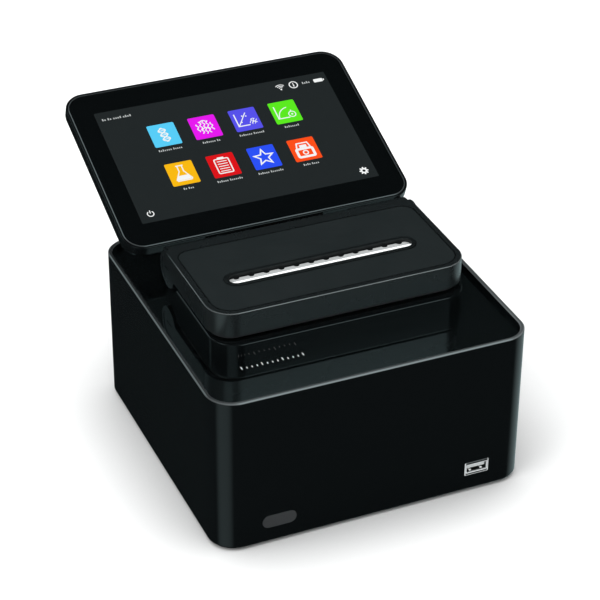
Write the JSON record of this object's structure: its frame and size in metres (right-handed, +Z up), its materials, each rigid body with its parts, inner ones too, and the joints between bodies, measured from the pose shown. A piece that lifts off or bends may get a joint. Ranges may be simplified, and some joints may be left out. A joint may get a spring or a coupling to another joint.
{
  "type": "spectrophotometer",
  "caption": "Benchtop microvolume spectrophotometer: box body with recessed deck, sample stage, hinged measuring lid with a slotted position strip and a tilting touchscreen.",
  "frame": {"origin": "centre of the mat under the base, on the bench, which is also the centre of the enclosure footprint", "axes": "+Z up, the front with the port faces -Y, +X to the right seen from the front"},
  "size_m": [0.188, 0.2654, 0.1546],
  "materials": {
    "badge_metal": "satin blank plate",
    "black_metal": "satin black powder coat",
    "brass_contacts": "gold-flashed contacts",
    "bright_steel": "bright plated steel",
    "cable_jacket": "matt flexible jacket",
    "circuit_board": "solder-masked glass-epoxy board",
    "deck_gloss": "mirror gloss black deck",
    "foot_rubber": "soft matte rubber",
    "gloss_black": "high gloss black moulding",
    "lamp_glass": "clear lamp envelope",
    "machined_aluminium": "bead blasted anodised",
    "mirror": "front-silvered",
    "panel_grey": "fine matte dark grey",
    "polymer": "moulded engineering plastic",
    "quartz": "polished quartz",
    "satin_black": "satin black moulding",
    "screen_glass": "gloss cover glass with a dark border",
    "white_strip": "satin white moulding"
  },
  "bodies": {
    "base": {"badge_plate": "badge_metal", "base_plate": "black_metal", "battery_pack": "polymer", "board_screws": "bright_steel", "board_standoffs": "bright_steel", "case_screws": "bright_steel", "collimating_mirror": "mirror", "deck_plate": "deck_gloss", "detector_board": "circuit_board", "diffraction_grating": "mirror", "display_cable": "cable_jacket", "enclosure_shell": "gloss_black", "equipment_bracket": "black_metal", "fibre_bundle": "cable_jacket", "fibre_ferrules": "bright_steel", "fibre_manifold": "machined_aluminium", "friction_washers": "bright_steel", "front_usb_contacts": "brass_contacts", "front_usb_frame": "bright_steel", "front_usb_shell": "bright_steel", "front_usb_tongue": "white_strip", "heat_sink": "machined_aluminium", "hinge_pins": "bright_steel", "hinge_tube": "machined_aluminium", "lamp_board": "circuit_board", "lamp_housing": "machined_aluminium", "main_board": "circuit_board", "network_jack": "bright_steel", "power_board": "circuit_board", "power_inlet": "polymer", "rear_panel": "black_metal", "rear_usb_ports": "bright_steel", "rocker_frame": "polymer", "rubber_mat": "foot_rubber", "sample_plate": "bright_steel", "sample_windows": "quartz", "screen_hinge_housing": "black_metal", "screen_hinge_pin": "bright_steel", "spectrometer_cover": "black_metal", "spectrometer_housing": "machined_aluminium", "stage_block": "gloss_black", "stage_magnets": "bright_steel", "video_port": "bright_steel", "xenon_lamp": "lamp_glass"},
    "lid": {"lid_shell": "satin_black", "lid_panel": "panel_grey", "slot_bezel": "panel_grey", "position_strip": "white_strip", "lid_underplate": "polymer", "lid_mirrors": "mirror", "lid_magnets": "bright_steel", "hinge_bushes": "polymer", "hinge_caps": "satin_black"},
    "screen": {"screen_arms": "black_metal", "arm_screws": "bright_steel", "screen_back_shell": "gloss_black", "screen_glass": "screen_glass", "lcd_module": "polymer", "screen_board": "circuit_board"},
    "rocker": {"power_rocker": "polymer"}
  },
  "joints": [
    {"name": "lid_hinge", "type": "hinge", "parent": "base", "child": "lid", "pos_m": [0, 0.0266, 0.1119], "axis": [-1, 0, 0], "range_deg": [0, 75]},
    {"name": "screen_tilt", "type": "hinge", "parent": "base", "child": "screen", "pos_m": [0, 0.06, 0.0986], "axis": [1, 0, 0], "range_deg": [-20, 45], "stiffness_Nm_per_rad": 0.1, "springref_deg": 68.18},
    {"name": "power_switch", "type": "hinge", "parent": "base", "child": "rocker", "pos_m": [-0.046, 0.08645, 0.035], "axis": [-1, 0, 0], "range_deg": [0, 12], "stiffness_Nm_per_rad": 0.00005, "springref_deg": -57.3}
  ]
}
